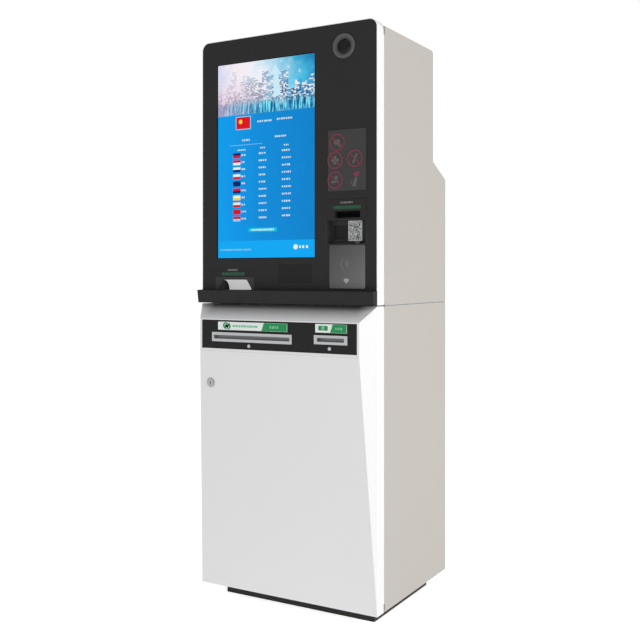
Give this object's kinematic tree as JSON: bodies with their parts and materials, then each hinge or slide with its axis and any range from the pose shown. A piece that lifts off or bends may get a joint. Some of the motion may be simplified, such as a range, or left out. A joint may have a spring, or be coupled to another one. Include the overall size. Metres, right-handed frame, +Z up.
{
  "type": "currency exchange kiosk",
  "caption": "Free-standing self-service banking kiosk: portrait touch screen, card, receipt and note slots, hinged front doors on a stepped sheet-steel cabinet.",
  "frame": {"origin": "on the floor, at the centre of the plinth's four anchor holes", "axes": "+Z up; the customer stands on the -Y side; +X to the customer's right"},
  "size_m": [0.6, 0.5427, 1.697],
  "materials": {
    "cabinet_grey": "fine-texture powder coat, warm grey",
    "door_white": "satin white powder coat",
    "plinth_black": "matt black powder coat",
    "fascia_black": "fine-grain matt black",
    "glass": "clear, polished",
    "display": "lit display surface",
    "galvanised": "zinc-plated sheet",
    "pin_steel": "ground",
    "lock_chrome": "satin chrome",
    "slot_metal": "anodised satin grey",
    "shutter_grey": "satin",
    "label_white": "printed film",
    "indicator_clear": "clear lens",
    "light_green": "translucent light guide",
    "pad_grey": "satin moulded grey",
    "panel_grey": "printed film on black",
    "ring_grey": "satin ring",
    "lens_black": "polished",
    "device_black": "moulded",
    "cassette_blue": "moulded",
    "heat_sink": "black anodised fins",
    "roller_rubber": "ground rubber",
    "paper": "thermal paper"
  },
  "bodies": {
    "cabinet": {"plinth": "plinth_black", "lower_cabinet": "cabinet_grey", "divider_plate": "galvanised", "upper_cabinet": "cabinet_grey", "latch_rail": "cabinet_grey", "rear_panels": "cabinet_grey", "rear_panel_screws": "pin_steel", "fan_frame": "device_black", "equipment_shelf": "galvanised", "control_pc": "heat_sink", "power_supply": "heat_sink", "power_inlet": "device_black", "hinge_cabinet_leaves": "door_white", "hinge_pins": "pin_steel", "dispenser_chassis": "galvanised", "presenter_frame": "galvanised", "note_acceptor": "device_black", "acceptor_cash_box": "cassette_blue", "acceptor_stand": "galvanised", "note_cassette_1": "cassette_blue", "note_cassette_2": "cassette_blue", "note_cassette_3": "cassette_blue"},
    "upper_door": {"upper_door_frame": "door_white", "fascia": "fascia_black", "fascia_ledge": "fascia_black", "pictogram_panel": "panel_grey", "touch_glass": "glass", "display_panel": "display", "camera_bezel": "ring_grey", "camera_lens": "lens_black", "card_reader_bezel": "fascia_black", "card_reader": "device_black", "guide_lights": "light_green", "scanner_tray": "fascia_black", "scanner_window": "glass", "contactless_pad": "pad_grey", "speaker_cover": "fascia_black", "receipt_bezel": "fascia_black", "receipt_paper": "paper", "printer_frame": "galvanised", "latch_housing": "galvanised", "upper_hinge_door_leaf": "door_white"},
    "lower_door": {"lower_door_skin": "door_white", "band_panel": "fascia_black", "slot_indicators": "indicator_clear", "outlet_bezel": "slot_metal", "intake_bezel": "slot_metal", "band_labels": "label_white", "lock_housing": "lock_chrome", "lower_hinge_door_leaf": "door_white"},
    "outlet_shutter": {"outlet_shutter": "shutter_grey"},
    "intake_shutter": {"intake_shutter": "shutter_grey"},
    "door_lock": {"lock_cylinder": "lock_chrome"},
    "door_latch": {"latch_bolt": "pin_steel"},
    "fan": {"fan_rotor": "device_black"},
    "rocker": {"power_switch": "device_black"},
    "feed_roller": {"feed_roller": "roller_rubber"},
    "pinch_roller": {"pinch_roller": "roller_rubber"},
    "paper_roll": {"paper_roll": "paper"},
    "platen": {"platen_roller": "roller_rubber"}
  },
  "joints": [
    {"name": "upper_door_hinge", "type": "hinge", "parent": "cabinet", "child": "upper_door", "pos_m": [0.297, -0.2105, 1.28175], "axis": [0, 0, 1], "range_deg": [0, 90]},
    {"name": "lower_door_hinge", "type": "hinge", "parent": "cabinet", "child": "lower_door", "pos_m": [0.297, -0.2105, 0.48275], "axis": [0, 0, 1], "range_deg": [0, 90]},
    {"name": "lock_turn", "type": "hinge", "parent": "lower_door", "child": "door_lock", "pos_m": [-0.235, -0.29718, 0.664], "axis": [0, -0.9976, -0.0695], "range_deg": [0, 90]},
    {"name": "latch_slide", "type": "slide", "parent": "upper_door", "child": "door_latch", "axis": [-1, 0, 0], "range_m": [0, 0.014]},
    {"name": "outlet_shutter_lift", "type": "slide", "parent": "lower_door", "child": "outlet_shutter", "axis": [0, 0, 1], "range_m": [0, 0.0145]},
    {"name": "intake_shutter_lift", "type": "slide", "parent": "lower_door", "child": "intake_shutter", "axis": [0, 0, 1], "range_m": [0, 0.0145]},
    {"name": "fan_spin", "type": "hinge", "parent": "cabinet", "child": "fan", "pos_m": [0.1, 0.1315, 1.551], "axis": [0, 1, 0], "continuous": true},
    {"name": "rocker_tilt", "type": "hinge", "parent": "cabinet", "child": "rocker", "pos_m": [0.18, 0.2295, 0.16], "axis": [1, 0, 0], "range_deg": [0, 18]},
    {"name": "feed_roller_spin", "type": "hinge", "parent": "cabinet", "child": "feed_roller", "pos_m": [-0.1115, -0.134, 0.7907], "axis": [1, 0, 0], "continuous": true},
    {"name": "pinch_roller_spin", "type": "hinge", "parent": "cabinet", "child": "pinch_roller", "pos_m": [-0.1115, -0.134, 0.8153], "axis": [1, 0, 0], "continuous": true},
    {"name": "paper_roll_spin", "type": "hinge", "parent": "upper_door", "child": "paper_roll", "pos_m": [-0.179, -0.142, 0.941], "axis": [1, 0, 0], "continuous": true},
    {"name": "platen_spin", "type": "hinge", "parent": "upper_door", "child": "platen", "pos_m": [-0.179, -0.199, 0.921], "axis": [1, 0, 0], "continuous": true}
  ],
  "couplings": [
    {"joint": "pinch_roller_spin", "follows": "feed_roller_spin", "ratio": -1},
    {"joint": "platen_spin", "follows": "paper_roll_spin", "ratio": 5}
  ]
}
